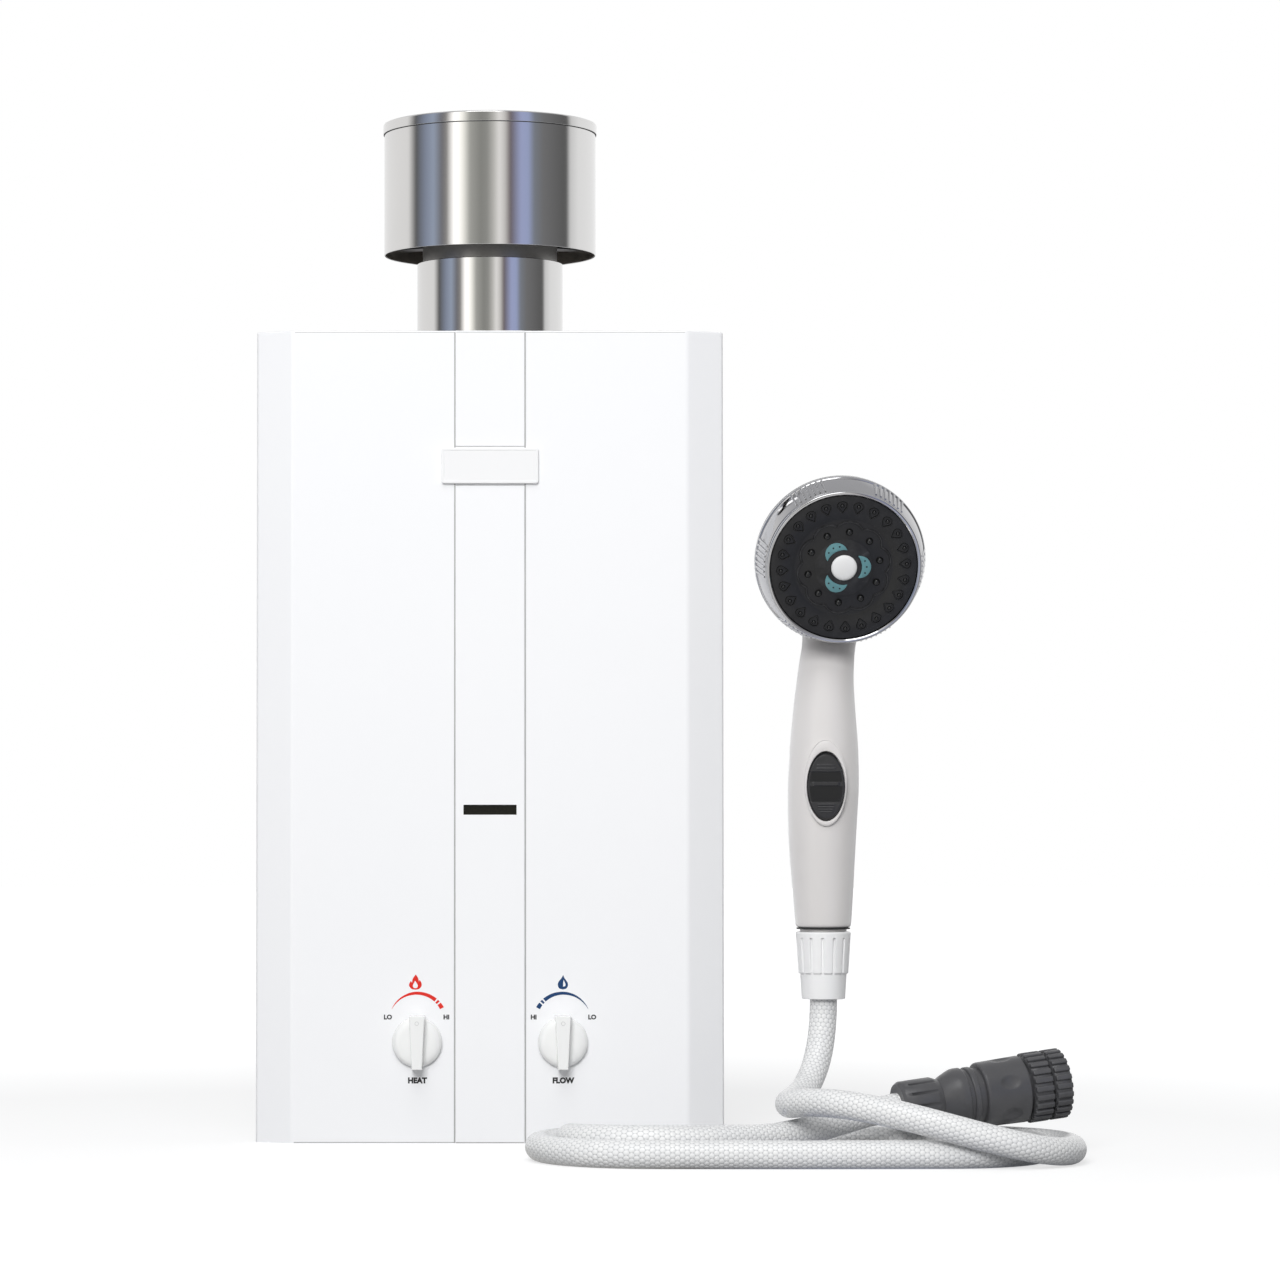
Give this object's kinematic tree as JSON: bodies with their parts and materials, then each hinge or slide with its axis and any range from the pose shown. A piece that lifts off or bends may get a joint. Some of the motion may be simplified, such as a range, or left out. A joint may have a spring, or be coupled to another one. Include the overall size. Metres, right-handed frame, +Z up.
{
  "type": "portable gas water heater with hand shower",
  "caption": "Tankless gas water heater: chamfered white casing, round stainless flue cap, gas and water knobs, and a hand shower on a coiled hose.",
  "frame": {"origin": "on the floor, at the middle of the casing's footprint, in the plane of its bottom rim", "axes": "+Z up along the casing, +X to the right of someone who faces the knobs, -Y out of the front panel"},
  "size_m": [0.7239, 0.517, 0.9335],
  "materials": {
    "white_enamel": "smooth white stove enamel",
    "badge_white": "smooth white",
    "zinc_steel": "zinc plated sheet",
    "screw_steel": "plated",
    "mica_glass": "smoked mica window",
    "stainless": "polished stainless sheet",
    "dark_steel": "dull",
    "copper": "bare copper",
    "burner_steel": "formed sheet",
    "valve_alloy": "die cast",
    "brass": "machined",
    "black_plastic": "matt",
    "ceramic": "glazed",
    "cell_wrap": "plain wrap",
    "knob_white": "glossy white",
    "handset_white": "satin warm white",
    "valve_plastic": "plain",
    "rocker_black": "satin black",
    "gasket_rubber": "black rubber",
    "chrome": "chrome plated plastic",
    "face_black": "satin black",
    "teal_plastic": "teal",
    "cap_white": "white",
    "nut_white": "white",
    "hose_white": "clear skin over white braid",
    "coupling_grey": "dark grey plastic"
  },
  "bodies": {
    "heater": {"front_cover": "white_enamel", "back_plate": "zinc_steel", "base_plate": "zinc_steel", "trim_strip_upper": "white_enamel", "trim_strip_lower": "white_enamel", "badge_plate": "badge_white", "sight_glass": "mica_glass", "cover_screws": "screw_steel", "flue_pipe": "stainless", "cap_collar": "stainless", "cap_brackets": "dark_steel", "cap_drum": "stainless", "cap_lid": "stainless", "draft_hood": "zinc_steel", "combustion_shell": "copper", "exchanger_fins": "copper", "exchanger_tube": "copper", "burner_bars": "burner_steel", "gas_rail": "burner_steel", "gas_valve_body": "valve_alloy", "water_valve_body": "valve_alloy", "diaphragm_cover": "valve_alloy", "micro_switch": "black_plastic", "valve_bridge": "zinc_steel", "gas_inlet_fitting": "brass", "cold_inlet_fitting": "brass", "hot_outlet_fitting": "brass", "cold_pipe": "copper", "hot_pipe": "copper", "control_box": "black_plastic", "igniter_electrodes": "ceramic", "overheat_thermostat": "dark_steel", "battery_box": "black_plastic", "batteries": "cell_wrap", "hose_ferrule": "screw_steel", "hose_lead": "hose_white", "hose_coil": "hose_white", "coupling_tail_nut": "coupling_grey", "coupling_body": "coupling_grey"},
    "gas_control": {"gas_knob": "knob_white", "gas_spindle": "screw_steel"},
    "water_control": {"water_knob": "knob_white", "water_spindle": "screw_steel"},
    "push_rod": {"push_rod": "screw_steel"},
    "battery_door": {"battery_door": "black_plastic"},
    "hose_nut": {"hose_nut": "nut_white"},
    "handset": {"handset_shell": "handset_white", "handset_stub": "handset_white", "flow_valve": "valve_plastic", "rocker_bezel": "handset_white", "rocker_pin": "screw_steel", "head_gasket": "gasket_rubber", "centre_cap": "cap_white"},
    "rocker": {"rocker_switch": "rocker_black"},
    "spray_head": {"spray_ring": "chrome", "face_plate": "face_black", "nozzle_crescents": "teal_plastic"},
    "coupling_collar": {"coupling_collar": "coupling_grey"},
    "coupling_ring": {"coupling_end_ring": "coupling_grey"}
  },
  "joints": [
    {"name": "gas_knob_turn", "type": "hinge", "parent": "heater", "child": "gas_control", "pos_m": [-0.0658, -0.09, 0.091], "axis": [0, 1, 0], "range_deg": [-50, 50]},
    {"name": "water_knob_turn", "type": "hinge", "parent": "heater", "child": "water_control", "pos_m": [0.0658, -0.09, 0.091], "axis": [0, 1, 0], "range_deg": [-50, 50]},
    {"name": "push_rod_slide", "type": "slide", "parent": "heater", "child": "push_rod", "axis": [-1, 0, 0], "range_m": [0, 0.003], "stiffness_N_per_m": 600, "springref_m": -0.001},
    {"name": "battery_door_hinge", "type": "hinge", "parent": "heater", "child": "battery_door", "pos_m": [-0.163, -0.035, 0.0424], "axis": [1, 0, 0], "range_deg": [0, 85]},
    {"name": "hose_nut_spin", "type": "hinge", "parent": "heater", "child": "hose_nut", "pos_m": [0.293, -0.205, 0.16], "axis": [0, 0, 1], "continuous": true},
    {"name": "handset_swivel", "type": "hinge", "parent": "heater", "child": "handset", "pos_m": [0.293, -0.205, 0.16], "axis": [0, 0, 1], "continuous": true},
    {"name": "rocker_tilt", "type": "hinge", "parent": "handset", "child": "rocker", "pos_m": [0.2936, -0.225, 0.321], "axis": [1, 0, 0], "range_deg": [-6, 6]},
    {"name": "spray_head_turn", "type": "hinge", "parent": "handset", "child": "spray_head", "pos_m": [0.3055, -0.236, 0.5205], "axis": [0.0582, -0.9519, -0.3007], "range_deg": [-60, 60]},
    {"name": "coupling_collar_slide", "type": "slide", "parent": "heater", "child": "coupling_collar", "axis": [-0.9587, -0.2569, -0.1219], "range_m": [0, 0.003], "stiffness_N_per_m": 1200, "springref_m": -0.001},
    {"name": "coupling_ring_spin", "type": "hinge", "parent": "heater", "child": "coupling_ring", "pos_m": [0.353, -0.265, 0.0436], "axis": [0.9587, 0.2569, 0.1219], "continuous": true}
  ]
}
